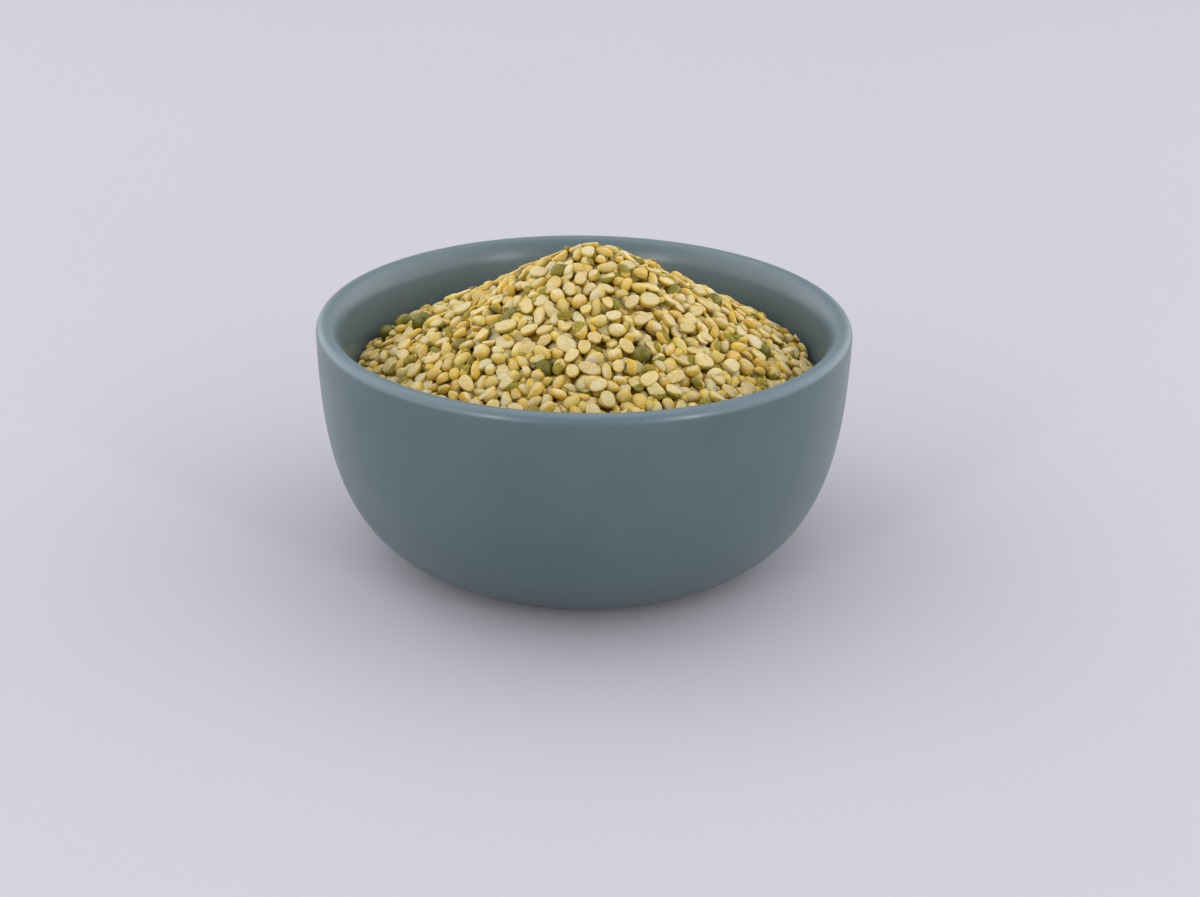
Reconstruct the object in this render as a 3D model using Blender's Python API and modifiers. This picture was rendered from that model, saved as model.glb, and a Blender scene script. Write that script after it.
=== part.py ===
# Stoneware bowl filled with a heap of dry split lentils.
# Metres, +Z up, origin on the bowl's axis at the level of its foot.

import math

import bmesh
import bpy
import numpy as np
from mathutils import Matrix, Vector

MM = 0.001

# Bowl
RIM_RADIUS = 60.0 * MM
BOWL_HEIGHT = 54.4 * MM
FOOT_RADIUS = 26.4 * MM
OUTER_SHAPE = (2.9, 3.0)
RIM_THICKNESS = 4.2 * MM
FLARE = 3.0 * MM
FLARE_POWER = 6.0
FLOOR_LEVEL = 5.5 * MM
FLOOR_RADIUS = 22.0 * MM
INNER_SHAPE = (2.1, 2.7)
RECESS_RADIUS = 20.5 * MM
RECESS_DEPTH = 1.0 * MM
RECESS_SLOPE = 1.2 * MM
TURN_STEPS = 48

# Levels at which the bowl's two faces are cut into rings, as shares of the height
OUTER_LEVELS = (0.86, 0.70, 0.54, 0.40, 0.28, 0.18, 0.10, 0.045, 0.012)
INNER_LEVELS = (0.004, 0.03, 0.09, 0.19, 0.33, 0.50, 0.68, 0.82, 0.91)
RIM_ARC_STEPS = 8

# Heap
GAP = 0.3 * MM
HEAP_EDGE_LEVEL = BOWL_HEIGHT - 11.9 * MM
HEAP_PEAK_LEVEL = BOWL_HEIGHT + 15.8 * MM
HEAP_PEAK = (1.2 * MM, 0.0)
PEAK_ROUNDING = 0.06
EDGE_TILT = 0.7 * MM
SIDE_BULGE = 0.5 * MM
LUMP_HEIGHT = 0.35 * MM
LUMP_LENGTH = 17.0 * MM
LUMP_SHIFT = (0.8, 0.3)
SLOPE_STEP = 1.5 * MM
CORE_DEPTH = 1.15 * MM
CORE_TOP_RINGS = (0.62, 0.22)
CORE_UNDER_SHARES = (0.0, 0.03, 0.12, 0.28, 0.52, 0.78)

# Grains fused to the heap
GRAIN_COUNT = 275
GRAIN_SIDES = 7
GRAIN_RINGS = ((0.50, -0.45), (0.37, 0.30))
GRAIN_LENGTH = (4.2 * MM, 5.4 * MM)
GRAIN_WIDTH_SHARE = (0.78, 0.88)
GRAIN_THICKNESS_SHARE = (0.40, 0.47)
GRAIN_TILT = math.radians(32.0)
GRAIN_FLIPPED_SHARE = 0.45
GRAIN_LIFT = (0.25 * MM, 0.65 * MM)
GRAIN_SEED = 11
SPREAD_TRIES = 60
EDGE_MARGIN = 1.6 * MM
SHORTEST_EDGE = 0.003 * MM
FLAT_ANGLE = math.radians(0.3)

GLAZE_COLOR = (0.115, 0.155, 0.170, 1.0)
LENTIL_COLOR = (0.60, 0.46, 0.20, 1.0)


def clear_scene():
    for thing in list(bpy.data.objects):
        bpy.data.objects.remove(thing, do_unlink=True)


def make_collection(name):
    collection = bpy.data.collections.new(name)
    bpy.context.scene.collection.children.link(collection)
    return collection


def make_material(name, color, roughness):
    material = bpy.data.materials.new(name)
    material.use_nodes = True
    shader = material.node_tree.nodes["Principled BSDF"]
    shader.inputs["Base Color"].default_value = color
    shader.inputs["Roughness"].default_value = roughness
    return material


def swell(share, shape):
    """Growth from 0 at the bottom to 1 at the top of a rounded wall."""
    first, second = shape
    return max(1.0 - (1.0 - share) ** first, 0.0) ** (1.0 / second)


def outer_radius(z):
    share = min(max(z / BOWL_HEIGHT, 0.0), 1.0)
    return FOOT_RADIUS + (RIM_RADIUS - FOOT_RADIUS) * swell(share, OUTER_SHAPE)


def inner_radius(z):
    """Inside of the bowl, rounded like the outside and flared towards the rim."""
    share = min(max((z - FLOOR_LEVEL) / (BOWL_HEIGHT - FLOOR_LEVEL), 0.0), 1.0)
    rounded_to = RIM_RADIUS - RIM_THICKNESS - FLARE
    rounded = FLOOR_RADIUS + (rounded_to - FLOOR_RADIUS) * swell(share, INNER_SHAPE)
    return rounded + FLARE * share ** FLARE_POWER


def bowl_profile():
    """Radius and height from the inside floor, over the rim, to the underside."""
    profile = [(0.0, FLOOR_LEVEL), (FLOOR_RADIUS, FLOOR_LEVEL)]
    depth = BOWL_HEIGHT - FLOOR_LEVEL
    for share in INNER_LEVELS:
        level = FLOOR_LEVEL + share * depth
        profile.append((inner_radius(level), level))
    lip = RIM_THICKNESS / 2.0
    middle = RIM_RADIUS - lip
    inward = middle - inner_radius(BOWL_HEIGHT - lip)
    for step in range(RIM_ARC_STEPS + 1):
        angle = math.pi - math.pi * step / RIM_ARC_STEPS
        reach = inward if angle > math.pi / 2.0 else lip
        profile.append((middle + reach * math.cos(angle), BOWL_HEIGHT - lip + lip * math.sin(angle)))
    for share in OUTER_LEVELS:
        level = share * BOWL_HEIGHT
        profile.append((outer_radius(level), level))
    profile.append((FOOT_RADIUS, 0.0))
    profile.append((RECESS_RADIUS + RECESS_SLOPE, 0.0))
    profile.append((RECESS_RADIUS, RECESS_DEPTH))
    profile.append((0.0, RECESS_DEPTH))
    return profile


def turned_object(name, profile, collection):
    """A closed round body, turned about Z from its profile."""
    mesh = bpy.data.meshes.new(name)
    points = [(radius, 0.0, height) for radius, height in profile]
    edges = [(index, index + 1) for index in range(len(points) - 1)]
    mesh.from_pydata(points, edges, [])
    body = bpy.data.objects.new(name, mesh)
    collection.objects.link(body)
    screw = body.modifiers.new("turn", "SCREW")
    screw.axis = "Z"
    screw.angle = math.tau
    screw.steps = TURN_STEPS
    screw.render_steps = TURN_STEPS
    screw.use_merge_vertices = True
    screw.merge_threshold = 0.00001
    screw.use_smooth_shade = True
    return body


def make_bowl(collection):
    bowl = turned_object("bowl", bowl_profile(), collection)
    bowl.data.materials.append(make_material("glazed stoneware", GLAZE_COLOR, 0.35))
    return bowl


def edge_radius():
    return inner_radius(HEAP_EDGE_LEVEL) - GAP


def heap_level(x, y):
    """Height of the heap's outer face, a cone with a rounded peak and slight lumps."""
    off_x = x - HEAP_PEAK[0]
    off_y = y - HEAP_PEAK[1]
    away = math.hypot(off_x, off_y)
    turn_x, turn_y = (off_x / away, off_y / away) if away > 0 else (1.0, 0.0)
    along = HEAP_PEAK[0] * turn_x + HEAP_PEAK[1] * turn_y
    peak_offset = HEAP_PEAK[0] ** 2 + HEAP_PEAK[1] ** 2
    reach = -along + math.sqrt(along ** 2 + edge_radius() ** 2 - peak_offset)
    share = away / reach
    blunt = math.hypot(share, PEAK_ROUNDING) - PEAK_ROUNDING
    fall = blunt / (math.hypot(1.0, PEAK_ROUNDING) - PEAK_ROUNDING)
    edge_level = HEAP_EDGE_LEVEL + EDGE_TILT * turn_x
    level = HEAP_PEAK_LEVEL + (edge_level - HEAP_PEAK_LEVEL) * fall
    middle = math.sin(math.pi * min(share, 1.0))
    wave_x = math.sin(x / LUMP_LENGTH * math.tau + LUMP_SHIFT[0])
    wave_y = math.cos(y / LUMP_LENGTH * math.tau + LUMP_SHIFT[1])
    return level + middle * (SIDE_BULGE * turn_x + LUMP_HEIGHT * wave_x * wave_y)


def heap_normal(x, y):
    rise_x = heap_level(x + SLOPE_STEP, y) - heap_level(x - SLOPE_STEP, y)
    rise_y = heap_level(x, y + SLOPE_STEP) - heap_level(x, y - SLOPE_STEP)
    return Vector((-rise_x, -rise_y, 2.0 * SLOPE_STEP)).normalized()


def core_rings():
    """Rings of points from the underside up the bowl's wall and over the top."""
    rings = []
    for share in CORE_UNDER_SHARES:
        level = FLOOR_LEVEL + share * (HEAP_EDGE_LEVEL - FLOOR_LEVEL)
        radius = inner_radius(level) - GAP
        rings.append([(radius, level + GAP)] * TURN_STEPS)
    edge = edge_radius()
    for share in (1.0, *CORE_TOP_RINGS):
        ring = []
        for step in range(TURN_STEPS):
            angle = math.tau * step / TURN_STEPS
            x = edge * share * math.cos(angle)
            y = edge * share * math.sin(angle)
            level = heap_level(x, y) - CORE_DEPTH
            ring.append((min(edge * share, inner_radius(level) - GAP), level))
        rings.append(ring)
    return rings


def make_core(collection):
    """The closed body under the grains, joined ring by ring."""
    mesh = bpy.data.meshes.new("lentil_heap")
    build = bmesh.new()
    loops = []
    for ring in core_rings():
        loop = []
        for step, (radius, level) in enumerate(ring):
            angle = math.tau * step / TURN_STEPS
            point = (radius * math.cos(angle), radius * math.sin(angle), level)
            loop.append(build.verts.new(point))
        loops.append(loop)
    for lower, upper in zip(loops, loops[1:]):
        for step in range(TURN_STEPS):
            after = (step + 1) % TURN_STEPS
            build.faces.new((lower[step], lower[after], upper[after], upper[step]))
    build.faces.new(list(reversed(loops[0])))
    top = build.verts.new((0.0, 0.0, heap_level(0.0, 0.0) - CORE_DEPTH))
    for step in range(TURN_STEPS):
        build.faces.new((loops[-1][step], loops[-1][(step + 1) % TURN_STEPS], top))
    bmesh.ops.triangulate(build, faces=build.faces[:])
    build.to_mesh(mesh)
    build.free()
    core = bpy.data.objects.new("lentil_heap", mesh)
    collection.objects.link(core)
    return core


def grain_mesh():
    """A split grain one unit long, wide and thick, flat below and domed above."""
    mesh = bpy.data.meshes.new("grain")
    build = bmesh.new()
    loops = []
    for radius, level in GRAIN_RINGS:
        loop = []
        for side in range(GRAIN_SIDES):
            angle = math.tau * side / GRAIN_SIDES
            point = (radius * math.cos(angle), radius * math.sin(angle), level)
            loop.append(build.verts.new(point))
        loops.append(loop)
    for lower, upper in zip(loops, loops[1:]):
        for side in range(GRAIN_SIDES):
            after = (side + 1) % GRAIN_SIDES
            build.faces.new((lower[side], lower[after], upper[after], upper[side]))
    build.faces.new(list(reversed(loops[0])))
    build.faces.new(loops[-1])
    bmesh.ops.triangulate(build, faces=build.faces[:])
    build.to_mesh(mesh)
    build.free()
    return mesh


def spread_points(count, draw):
    """Places on the heap, one at its peak, then each the farthest of several draws."""
    places = np.array([HEAP_PEAK])
    limit = edge_radius() - EDGE_MARGIN
    while len(places) < count:
        angle = draw.uniform(0.0, math.tau, SPREAD_TRIES)
        radius = limit * np.sqrt(draw.uniform(0.0, 1.0, SPREAD_TRIES))
        tries = np.stack([radius * np.cos(angle), radius * np.sin(angle)], axis=1)
        apart = np.linalg.norm(tries[:, None] - places[None], axis=2).min(axis=1)
        places = np.vstack([places, tries[int(apart.argmax())]])
    return places


def clears_bowl(points):
    """True where every point keeps the gap to the bowl's faceted inner wall."""
    facet = math.cos(math.pi / TURN_STEPS)
    for point in points:
        allowed = inner_radius(point.z) * facet - GAP
        if math.hypot(point.x, point.y) > allowed:
            return False
    return True


def grain_pose(place, size, draw):
    """Matrix that lays a grain of this size on the heap, tilted at random."""
    x, y = place
    normal = heap_normal(x, y)
    lean = draw.uniform(0.0, GRAIN_TILT)
    lean_to = draw.uniform(0.0, math.tau)
    flip = math.pi if draw.uniform() < GRAIN_FLIPPED_SHARE else 0.0
    spin = draw.uniform(0.0, math.tau)
    lift = draw.uniform(*GRAIN_LIFT)
    align = normal.to_track_quat("Z", "Y").to_matrix().to_4x4()
    lean_axis = (math.cos(lean_to), math.sin(lean_to), 0.0)
    tilt = Matrix.Rotation(lean, 4, lean_axis) @ Matrix.Rotation(flip, 4, "X")
    turn = Matrix.Rotation(spin, 4, "Z")
    base = Vector((x, y, heap_level(x, y) - CORE_DEPTH)) + normal * lift
    scale = Matrix.Diagonal((*size, 1.0))
    return Matrix.Translation(base) @ align @ tilt @ turn @ scale


def scatter_grains(collection):
    """Grains of true size over the whole top of the heap, the largest first."""
    draw = np.random.default_rng(GRAIN_SEED)
    lengths = np.sort(draw.uniform(*GRAIN_LENGTH, GRAIN_COUNT))[::-1]
    mesh = grain_mesh()
    for place, length in zip(spread_points(GRAIN_COUNT, draw), lengths):
        width = length * draw.uniform(*GRAIN_WIDTH_SHARE)
        thickness = length * draw.uniform(*GRAIN_THICKNESS_SHARE)
        pose = grain_pose(place, (length, width, thickness), draw)
        corners = [pose @ corner.co for corner in mesh.vertices]
        if not clears_bowl(corners):
            continue
        grain = bpy.data.objects.new("grain", mesh)
        grain.matrix_world = pose
        collection.objects.link(grain)


def drop_small_shells(build):
    """Drops loose scraps and the walls of sealed hollows."""
    left = set(build.verts)
    shells = []
    while left:
        shell = set()
        front = [left.pop()]
        while front:
            corner = front.pop()
            shell.add(corner)
            for edge in corner.link_edges:
                other = edge.other_vert(corner)
                if other in left:
                    left.remove(other)
                    front.append(other)
        shells.append(shell)
    shells.sort(key=len)
    for shell in shells[:-1]:
        bmesh.ops.delete(build, geom=list(shell), context="VERTS")


def tidy_fused_mesh(mesh):
    """One shell whose flat facets carry no needless points."""
    build = bmesh.new()
    build.from_mesh(mesh)
    drop_small_shells(build)
    bmesh.ops.remove_doubles(build, verts=build.verts[:], dist=SHORTEST_EDGE)
    bmesh.ops.dissolve_degenerate(build, edges=build.edges[:], dist=SHORTEST_EDGE)
    bmesh.ops.dissolve_limit(
        build, angle_limit=FLAT_ANGLE, verts=build.verts[:], edges=build.edges[:]
    )
    bmesh.ops.triangulate(build, faces=build.faces[:])
    build.to_mesh(mesh)
    build.free()


def fuse_grains(core, grains):
    """Joins the whole collection to the core in one Boolean and applies it."""
    union = core.modifiers.new("fuse grains", "BOOLEAN")
    union.operation = "UNION"
    union.operand_type = "COLLECTION"
    union.collection = grains
    union.solver = "MANIFOLD"
    bpy.context.view_layer.update()
    result = core.evaluated_get(bpy.context.evaluated_depsgraph_get())
    fused = bpy.data.meshes.new_from_object(result)
    core.modifiers.remove(union)
    core.data = fused
    for grain in list(grains.objects):
        bpy.data.objects.remove(grain, do_unlink=True)
    bpy.data.collections.remove(grains)
    tidy_fused_mesh(core.data)


def make_heap(collection):
    core = make_core(collection)
    grains = make_collection("grains")
    scatter_grains(grains)
    fuse_grains(core, grains)
    core.data.name = "lentil_heap"
    core.data.materials.clear()
    core.data.materials.append(make_material("dry lentils", LENTIL_COLOR, 0.7))
    return core


def main():
    clear_scene()
    collection = make_collection("lentil_dish")
    make_bowl(collection)
    make_heap(collection)


main()
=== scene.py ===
import math

import bmesh
import bpy
import numpy as np
from mathutils import Euler, Matrix, Vector


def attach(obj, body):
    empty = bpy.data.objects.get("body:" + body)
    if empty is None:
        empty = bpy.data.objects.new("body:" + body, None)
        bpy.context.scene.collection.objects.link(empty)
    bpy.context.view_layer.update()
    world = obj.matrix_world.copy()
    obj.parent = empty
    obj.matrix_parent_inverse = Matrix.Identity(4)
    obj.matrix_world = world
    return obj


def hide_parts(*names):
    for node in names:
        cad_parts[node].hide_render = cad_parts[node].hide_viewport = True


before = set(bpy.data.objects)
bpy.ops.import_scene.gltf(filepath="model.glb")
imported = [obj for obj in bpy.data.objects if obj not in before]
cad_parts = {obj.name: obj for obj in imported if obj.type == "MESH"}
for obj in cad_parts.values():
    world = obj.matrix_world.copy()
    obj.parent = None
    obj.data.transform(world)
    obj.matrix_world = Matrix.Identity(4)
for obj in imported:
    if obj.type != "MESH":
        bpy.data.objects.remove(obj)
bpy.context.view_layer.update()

MM = 0.001

# Bowl, as in the solids, with a finer lip
RIM_RADIUS = 60.0 * MM
BOWL_HEIGHT = 54.4 * MM
FOOT_RADIUS = 26.4 * MM
OUTER_SHAPE = (2.9, 3.0)
RIM_THICKNESS = 4.2 * MM
FLARE = 3.0 * MM
FLARE_POWER = 6.0
LIP_INSIDE_DEPTH = 4.8 * MM
LIP_OUTSIDE_DEPTH = 2.1 * MM
FLOOR_LEVEL = 5.5 * MM
FLOOR_RADIUS = 22.0 * MM
INNER_SHAPE = (2.1, 2.7)
RECESS_RADIUS = 20.5 * MM
RECESS_DEPTH = 1.0 * MM
RECESS_SLOPE = 1.2 * MM
RECESS_EDGE = 0.3 * MM
RECESS_EDGE_DROP = 0.1 * MM
FOOT_EDGE = 0.4 * MM
FOOT_EDGE_LIFT = 0.06 * MM
FLOOR_RINGS = (0.3, 0.6, 0.85, 0.96)
BOWL_STEPS = 192
WALL_LEVELS = 34
LIP_STEPS = 20

# Heap, as in the solids
GAP = 0.3 * MM
HEAP_EDGE_LEVEL = BOWL_HEIGHT - 11.9 * MM
HEAP_PEAK_LEVEL = BOWL_HEIGHT + 15.8 * MM
HEAP_PEAK = (1.2 * MM, 0.0)
PEAK_ROUNDING = 0.06
EDGE_TILT = 0.7 * MM
SIDE_BULGE = 0.5 * MM
LUMP_HEIGHT = 0.35 * MM
LUMP_LENGTH = 17.0 * MM
LUMP_SHIFT = (0.8, 0.3)
SLOPE_STEP = 1.5 * MM
CORE_DEPTH = 3.6 * MM
CORE_STEPS = 96
CORE_RINGS = 24
CORE_WALL_SHARES = (0.0, 0.02, 0.06, 0.12, 0.2, 0.3, 0.42, 0.56, 0.7, 0.85, 1.0)

# Grid on which the grains are laid
GRID_STEP = 0.3 * MM
GRID_BORDER = 4
WALLED = 1.0
WALL_MARGIN = 0.25 * MM
WALL_CLEARANCE = 0.6 * MM

# Laying: open depth at which a cell still calls for a grain, how far grains may stand out,
# how far they sink into their neighbours, and the number of tries
HEAP_SEED = 5
LAYERS = (
    (3.0 * MM, (-1.2 * MM, -0.4 * MM), 0.6 * MM, 1400),
    (1.0 * MM, (0.1 * MM, 1.15 * MM), 0.3 * MM, 3000),
    (1.6 * MM, (-0.2 * MM, 0.6 * MM), 1.2 * MM, 1200),
    (-1.0 * MM, (1.0 * MM, 1.9 * MM), 0.4 * MM, 80),
)
DROP_CHOICES = 5
DROP_SHIFT = 0.9 * MM
LAY_LOOSENESS = 0.7 * MM
TILT_SPREAD = math.radians(44.0)
FLIPPED_SHARE = 0.45

# Where the next grain goes: the roomiest of a few open cells, with failed places set back
ROOM_REACH = 5
ROOM_CHOICES = 12
TIRED_REACH = 2
TIRED_COST = 0.4 * MM
REFRESH_EVERY = 15

# Small sunk grains for the pits that are left
PIT_DEPTH = 2.5 * MM
PIT_CENTRE = (1.5 * MM, 2.4 * MM)
PIT_TRIES = 900
PIT_SIZE = 0.86

# Split grains, sizes first and then their unevenness as shares of half a grain
KINDS = ("pale", "yellow", "husked", "bean")
SPLIT_SHARES = (0.42, 0.33, 0.25)
SPLIT_LENGTH = (3.5 * MM, 5.4 * MM)
SPLIT_WIDTH_SHARE = (0.54, 0.80)
SPLIT_THICKNESS_SHARE = (0.31, 0.44)
SHORT_SHARE = 0.08
SHORT_FACTOR = (0.72, 0.9)
OUTLINE_WAVES = ((1, 0.05), (2, 0.07), (3, 0.07), (4, 0.03), (5, 0.02))
NOTCH_DEPTH = 0.18
NOTCH_WIDTH = 0.32
BEND = 0.08
BEND_MIDDLE = 0.4
BROKEN_SHARE = 0.3
BROKEN_AT = (0.35, 0.8)
BROKEN_CUT = 0.8
DOME_LEAN_X = 0.16
DOME_LEAN_Y = 0.20
FLAT_TWIST = 0.07

# Whole beans
BEAN_LENGTH = (4.4 * MM, 5.2 * MM)
BEAN_WIDTH_SHARE = (0.76, 0.84)
BEAN_THICKNESS_SHARE = (0.72, 0.80)
BEAN_TAPER = 0.06
BEAN_COUNT = 26
BEAN_TRIES = 12
BEAN_PROUD = (0.3 * MM, 1.1 * MM)
EDGE_BEANS = ((-43.0 * MM, 15.0 * MM), (-37.3 * MM, 4.5 * MM), (-46.5 * MM, 11.0 * MM))
EDGE_BEAN_PROUD = 2.2 * MM

# Rings of the two grain forms, as radius and height in units of half a grain, and the
# height of the lowest point as a share of the first ring's
GRAIN_SEGMENTS = 14
BASE_SHARE = 0.6
SPLIT_RINGS = (
    (0.84, 0.00), (0.95, 0.05), (1.00, 0.20), (0.97, 0.44),
    (0.84, 0.70), (0.58, 0.90), (0.28, 0.985),
)
BEAN_RINGS = (
    (0.30, 0.026), (0.60, 0.115), (0.83, 0.245), (0.96, 0.40),
    (1.00, 0.52), (0.94, 0.68), (0.74, 0.86), (0.42, 0.97),
)

# Screen colours from 0 to 255
GLAZE_COLORS = ((66, 83, 86), (73, 89, 92))
LIP_SHEEN_COLOR = (77, 97, 105)
SPECK_COLOR = (46, 52, 54)
DUST_COLOR = (178, 170, 130)
CLAY_COLORS = ((150, 140, 126), (176, 166, 150))
# Packed core: bright cell middles, and painted shade at the cell edges between the grains
CORE_COLORS = ((200, 156, 50), (150, 108, 30))
# Split grains: a pale colour for the middle of each face (partly flour, partly painted highlight),
# then own and deeper yellows
PALE_COLORS = ((189, 181, 146), (190, 167, 72), (184, 153, 46))
YELLOW_COLORS = ((189, 179, 136), (190, 160, 50), (182, 146, 30))
HUSKED_COLORS = ((189, 179, 138), (190, 161, 56), (182, 148, 36))
MOTTLE_DARK = (166, 124, 18)
MOTTLE_PALE = (202, 195, 168)
HUSK_COLORS = ((122, 112, 22), (150, 134, 36))
HUSK_SHADE = (102, 92, 16)
COAT_COLORS = ((92, 88, 10), (124, 112, 20))
COAT_SHADE = (74, 70, 8)
SCAR_PATCH_COLOR = (66, 58, 66)
SCAR_COLOR = (226, 222, 214)
TABLE_COLORS = ((162, 161, 166), (165, 164, 169))

# Glaze: pattern scales per metre, ranges of the patterns, and strengths
GLAZE_CLOUD_SCALE = 28.0
GLAZE_CLOUD_RANGE = (0.3, 0.7)
# Painted sheen: the glaze is drawn paler towards the top of the lip
LIP_SHEEN_LEVELS = (BOWL_HEIGHT - 2.6 * MM, BOWL_HEIGHT - 0.4 * MM)
LIP_SHEEN_SHARE = 0.5
SPECK_SCALE = 420.0
SPECK_RANGE = (0.05, 0.10)
SPECK_RARITY = 0.72
SPECK_TINT = 0.65
SPECK_RELIEF = 0.25
DUST_SCALE = 950.0
DUST_RANGE = (0.60, 0.72)
DUST_LEVELS = (HEAP_EDGE_LEVEL - 1.0 * MM, HEAP_EDGE_LEVEL + 9.0 * MM)
DUST_FROM = HEAP_EDGE_LEVEL - 8.0 * MM
DUST_WITHIN = RIM_RADIUS - RIM_THICKNESS * 0.75
DUST_TINT = 0.55
DUST_ROUGHNESS = 0.3
BARE_LEVELS = (0.35 * MM, 0.75 * MM)
BARE_ROUGHNESS = 0.5
CLAY_SCALE = 1500.0
GLOSS_SCALE = 90.0
GLOSS_RANGE = (0.25, 0.75)
GLAZE_ROUGHNESS = (0.29, 0.35)
RIPPLE_SCALE = 420.0
RIPPLE_RELIEF = 0.6
GLAZE_BUMP = 0.10
GLAZE_BUMP_DEPTH = 0.05 * MM

# Packed core under the grains
CORE_CELL_SCALE = 230.0
CORE_SHADE_RANGE = (0.2, 0.7)
CORE_ROUGHNESS = 0.8
CORE_BUMP = 0.8
CORE_BUMP_DEPTH = 0.6 * MM

# Split grains' surface
MOTTLE_SCALE = 800.0
FINE_SCALE = 2600.0
# Pale middle of each face: partly flour where the grain rubs, partly a painted highlight
RUB_AND_LIGHT_RAGGED = 1.3
RUB_AND_LIGHT_RANGE = (0.45, 1.0)
FLAT_RANGE = (0.03, 0.14)
FLOUR_AND_HIGHLIGHT_DRAW = (0.35, 1.0)
FLAT_FLOUR_AND_HIGHLIGHT_RANGE = (0.35, 0.65)
FLAT_FLOUR_AND_HIGHLIGHT = (0.4, 0.95)
DEEP_DRAW_RANGE = (0.1, 1.0)
FINE_DARK_RANGE = (0.42, 0.68)
FINE_DARK = 0.35
FINE_PALE_RANGE = (0.30, 0.46)
FINE_PALE = 0.3
BRIGHTNESS = (0.87, 0.99)
GRAIN_ROUGHNESS = 0.6
HUSK_SMOOTHING = 0.2
HUSK_AIM = 1.1
HUSK_CROWN = 0.25
HUSK_RAGGED = 0.5
HUSK_RANGE = (0.43, 0.49)
HUSK_DRAW_RANGE = (0.2, 0.9)
HUSK_FINE_RANGE = (0.35, 0.7)
GRAIN_SPECULAR = 0.2
GRAIN_GLOW = 0.7
GLOW_SPREAD = (1.0, 0.65, 0.25)
GLOW_DEPTH = 1.2 * MM
FINE_RELIEF = 0.5
GRAIN_BUMP = 0.8
GRAIN_BUMP_DEPTH = 0.32 * MM

# Whole beans' surface
COAT_CLOUD_SCALE = 600.0
COAT_DRAW_RANGE = (0.1, 0.9)
COAT_CLOUD_RANGE = (0.35, 0.75)
SCAR_SIDE = 0.3
SCAR_PATCH_LENGTHWISE = 0.55
SCAR_PATCH_RANGE = (0.28, 0.75)
SCAR_PATCH_DRAW = (0.1, 0.6)
SCAR_WIDTH_RANGE = (0.07, 0.12)
SCAR_LENGTH_RANGE = (0.30, 0.42)
COAT_ROUGHNESS = 0.36
COAT_SPECULAR = 0.3
COAT_BUMP = 0.35
COAT_BUMP_DEPTH = 0.08 * MM

# Table, camera and light
TABLE_SIZE = 4.0
TABLE_LEVEL = -0.02 * MM
TABLE_CLOUD_SCALE = 6.0
TABLE_GRAIN_SCALE = 1200.0
TABLE_ROUGHNESS = 0.6
TABLE_BUMP = 0.05
TABLE_BUMP_DEPTH = 0.05 * MM
CAMERA_PLACE = (3.9 * MM, -341.0 * MM, 176.7 * MM)
CAMERA_PITCH = math.radians(24.61)
CAMERA_ROLL = math.radians(0.92)
CAMERA_LENS = 48.0
CAMERA_SENSOR = 36.0
ROOM_COLOR = (0.87, 0.865, 0.92, 1.0)
ROOM_ACROSS = (0.2, 0.85, 0.78, 2.9)
ROOM_AHEAD = (-1.0, 0.4, 0.85, 1.0)
OVERHEAD_PLACE = (-0.15, 0.5, 1.5)
OVERHEAD_AIM = (0.0, 0.2, 0.0)
OVERHEAD_SIZE = (1.8, 1.5)
OVERHEAD_POWER = 9.5
OVERHEAD_COLOR = (1.0, 0.99, 0.97)
STRIP_TURNS = (43.5, -36.5)
STRIP_REACH = 1.2
STRIP_LEVEL = 0.5
STRIP_AIM = (0.0, 0.0, 0.05)
STRIP_SIZE = (0.07, 0.5)
STRIP_POWER = 3.4
STRIP_COLOR = (0.98, 0.99, 1.0)


def linear(color):
    """Screen colour from 0 to 255 as linear light, with alpha."""
    def curve(value):
        value /= 255.0
        return value / 12.92 if value <= 0.04045 else ((value + 0.055) / 1.055) ** 2.4
    return (*(curve(value) for value in color), 1.0)


# Profiles, the same rules as the solids follow

def swell(share, shape):
    first, second = shape
    return max(1.0 - (1.0 - share) ** first, 0.0) ** (1.0 / second)


def outer_radius(z):
    share = min(max(z / BOWL_HEIGHT, 0.0), 1.0)
    return FOOT_RADIUS + (RIM_RADIUS - FOOT_RADIUS) * swell(share, OUTER_SHAPE)


def inner_radius(z):
    share = min(max((z - FLOOR_LEVEL) / (BOWL_HEIGHT - FLOOR_LEVEL), 0.0), 1.0)
    rounded_to = RIM_RADIUS - RIM_THICKNESS - FLARE
    rounded = FLOOR_RADIUS + (rounded_to - FLOOR_RADIUS) * swell(share, INNER_SHAPE)
    return rounded + FLARE * share ** FLARE_POWER


def edge_radius():
    return inner_radius(HEAP_EDGE_LEVEL) - GAP


def heap_level(x, y):
    """Height of the heap's outer face, for numbers or arrays."""
    off_x = x - HEAP_PEAK[0]
    off_y = y - HEAP_PEAK[1]
    away = np.maximum(np.hypot(off_x, off_y), 1e-9)
    turn_x = off_x / away
    turn_y = off_y / away
    along = HEAP_PEAK[0] * turn_x + HEAP_PEAK[1] * turn_y
    peak_offset = HEAP_PEAK[0] ** 2 + HEAP_PEAK[1] ** 2
    reach = -along + np.sqrt(along ** 2 + edge_radius() ** 2 - peak_offset)
    share = away / reach
    blunt = np.hypot(share, PEAK_ROUNDING) - PEAK_ROUNDING
    fall = blunt / (math.hypot(1.0, PEAK_ROUNDING) - PEAK_ROUNDING)
    edge_level = HEAP_EDGE_LEVEL + EDGE_TILT * turn_x
    level = HEAP_PEAK_LEVEL + (edge_level - HEAP_PEAK_LEVEL) * fall
    middle = np.sin(math.pi * np.minimum(share, 1.0))
    wave_x = np.sin(x / LUMP_LENGTH * math.tau + LUMP_SHIFT[0])
    wave_y = np.cos(y / LUMP_LENGTH * math.tau + LUMP_SHIFT[1])
    return level + middle * (SIDE_BULGE * turn_x + LUMP_HEIGHT * wave_x * wave_y)


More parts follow.
